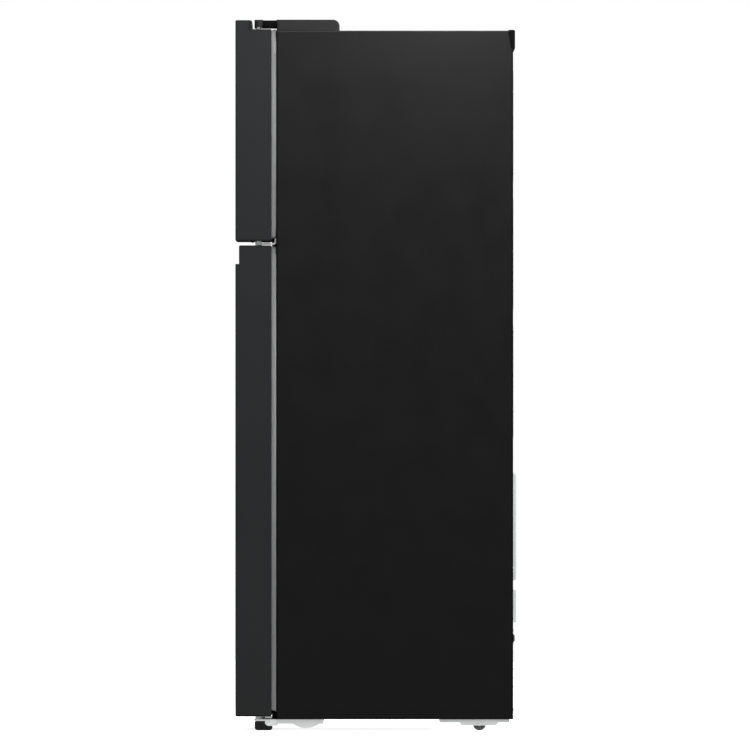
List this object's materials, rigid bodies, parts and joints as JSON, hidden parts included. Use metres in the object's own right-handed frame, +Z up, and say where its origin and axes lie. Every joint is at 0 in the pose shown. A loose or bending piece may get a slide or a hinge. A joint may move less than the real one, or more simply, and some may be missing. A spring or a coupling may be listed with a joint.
{
  "type": "top freezer refrigerator",
  "caption": "Free-standing top freezer refrigerator with side-hinged doors, pocket grips, glass shelves, drawers and a rear compressor.",
  "frame": {"origin": "on the floor, under the middle of the whole object's box", "axes": "+Z up, -Y towards the front (the doors), +X towards the hinge side (the right, seen from the front)"},
  "size_m": [0.555, 0.6446, 1.63],
  "materials": {
    "cabinet_paint": "satin",
    "door_paint": "satin",
    "zinc_sheet": "matte",
    "foam": "matte",
    "liner_plastic": "satin",
    "dark_plastic": "matte",
    "matte_plastic": "matte",
    "roller_plastic": "matte",
    "grey_plastic": "matte",
    "pale_plastic": "matte",
    "black_steel": "gloss",
    "rubber": "matte",
    "copper": "satin",
    "bright_steel": "satin",
    "bracket_steel": "satin",
    "aluminium_fins": "satin",
    "gasket": "matte",
    "shelf_glass": "gloss",
    "clear_plastic": "gloss",
    "lens_plastic": "satin",
    "door_edge_plastic": "satin"
  },
  "bodies": {
    "cabinet": {"outer_shell": "cabinet_paint", "back_panel": "zinc_sheet", "base_panel": "zinc_sheet", "cabinet_foam": "foam", "freezer_liner": "liner_plastic", "fridge_liner": "liner_plastic", "front_rails": "cabinet_paint", "rear_top_cap": "matte_plastic", "compressor_base": "bracket_steel", "compressor": "black_steel", "compressor_mounts": "rubber", "refrigerant_lines": "copper", "drain_pan": "pale_plastic", "machine_cover": "pale_plastic", "cord_gland": "rubber", "control_board_cover": "grey_plastic", "roller_axles": "bright_steel", "foot_bracket": "bracket_steel", "bottom_hinge": "bracket_steel", "middle_hinge": "bright_steel", "top_hinge": "bright_steel", "top_hinge_cover": "dark_plastic", "hinge_screws": "bright_steel", "freezer_shelf": "shelf_glass", "freezer_air_cover": "liner_plastic", "evaporator": "aluminium_fins", "fan_motor": "dark_plastic", "ice_tray_frame": "pale_plastic", "fridge_air_duct": "liner_plastic", "control_housing": "liner_plastic", "lamp_lens": "lens_plastic", "glass_shelves": "shelf_glass", "shelf_trims": "pale_plastic", "crisper_cover": "shelf_glass"},
    "fan": {"evaporator_fan": "pale_plastic"},
    "ice_tray": {"ice_tray": "clear_plastic"},
    "ice_bin": {"ice_bin": "clear_plastic"},
    "chiller_drawer": {"chiller_drawer": "clear_plastic"},
    "crisper_drawer": {"crisper_drawer": "clear_plastic"},
    "temperature_dial": {"temperature_dial": "grey_plastic"},
    "freezer_switch": {"freezer_switch": "pale_plastic"},
    "fridge_switch": {"fridge_switch": "pale_plastic"},
    "rear_roller_left": {"rear_roller_left": "roller_plastic"},
    "rear_roller_right": {"rear_roller_right": "roller_plastic"},
    "levelling_foot_left": {"levelling_foot_left": "dark_plastic"},
    "levelling_foot_right": {"levelling_foot_right": "dark_plastic"},
    "freezer_door": {"freezer_door_skin": "door_paint", "freezer_door_foam": "foam", "freezer_door_liner": "liner_plastic", "freezer_door_caps": "door_edge_plastic", "freezer_door_gasket": "gasket", "freezer_basket_upper": "clear_plastic", "freezer_basket_lower": "clear_plastic"},
    "fridge_door": {"fridge_door_skin": "door_paint", "fridge_door_foam": "foam", "fridge_door_liner": "liner_plastic", "fridge_door_caps": "door_edge_plastic", "fridge_door_gasket": "gasket", "fridge_baskets": "clear_plastic", "bottle_basket": "clear_plastic"}
  },
  "joints": [
    {"name": "freezer_door_hinge", "type": "hinge", "parent": "cabinet", "child": "freezer_door", "pos_m": [0.255, -0.26895, 1.36], "axis": [0, 0, 1], "range_deg": [0, 120]},
    {"name": "fridge_door_hinge", "type": "hinge", "parent": "cabinet", "child": "fridge_door", "pos_m": [0.255, -0.26895, 0.57], "axis": [0, 0, 1], "range_deg": [0, 120]},
    {"name": "crisper_slide", "type": "slide", "parent": "cabinet", "child": "crisper_drawer", "axis": [0, -1, 0], "range_m": [0, 0.19]},
    {"name": "chiller_slide", "type": "slide", "parent": "cabinet", "child": "chiller_drawer", "axis": [0, -1, 0], "range_m": [0, 0.19]},
    {"name": "ice_bin_slide", "type": "slide", "parent": "cabinet", "child": "ice_bin", "axis": [0, -1, 0], "range_m": [0, 0.19]},
    {"name": "ice_tray_twist", "type": "hinge", "parent": "cabinet", "child": "ice_tray", "pos_m": [-0.165, 0.003, 1.452], "axis": [0, 1, 0], "range_deg": [0, 140], "stiffness_Nm_per_rad": 0.4},
    {"name": "temperature_dial_turn", "type": "hinge", "parent": "cabinet", "child": "temperature_dial", "pos_m": [-0.07, -0.185, 1.066], "axis": [0, 1, 0], "range_deg": [-135, 135]},
    {"name": "freezer_switch_press", "type": "slide", "parent": "cabinet", "child": "freezer_switch", "axis": [0, 1, 0], "range_m": [0, 0.005], "stiffness_N_per_m": 60},
    {"name": "fridge_switch_press", "type": "slide", "parent": "cabinet", "child": "fridge_switch", "axis": [0, 1, 0], "range_m": [0, 0.005], "stiffness_N_per_m": 60},
    {"name": "evaporator_fan_spin", "type": "hinge", "parent": "cabinet", "child": "fan", "pos_m": [0, 0.21, 1.44], "axis": [0, 1, 0], "continuous": true},
    {"name": "rear_roller_left_roll", "type": "hinge", "parent": "cabinet", "child": "rear_roller_left", "pos_m": [-0.252, 0.23745, 0.015], "axis": [1, 0, 0], "continuous": true},
    {"name": "levelling_foot_left_turn", "type": "hinge", "parent": "cabinet", "child": "levelling_foot_left", "pos_m": [-0.238, -0.25765, 0.01], "axis": [0, 0, 1], "continuous": true},
    {"name": "rear_roller_right_roll", "type": "hinge", "parent": "cabinet", "child": "rear_roller_right", "pos_m": [0.252, 0.23745, 0.015], "axis": [1, 0, 0], "continuous": true},
    {"name": "levelling_foot_right_turn", "type": "hinge", "parent": "cabinet", "child": "levelling_foot_right", "pos_m": [0.238, -0.25765, 0.01], "axis": [0, 0, 1], "continuous": true}
  ],
  "couplings": [
    {"joint": "crisper_slide", "follows": "fridge_door_hinge", "m_per_rad": 0.09},
    {"joint": "chiller_slide", "follows": "fridge_door_hinge", "m_per_rad": 0.09},
    {"joint": "ice_bin_slide", "follows": "freezer_door_hinge", "m_per_rad": 0.09}
  ]
}
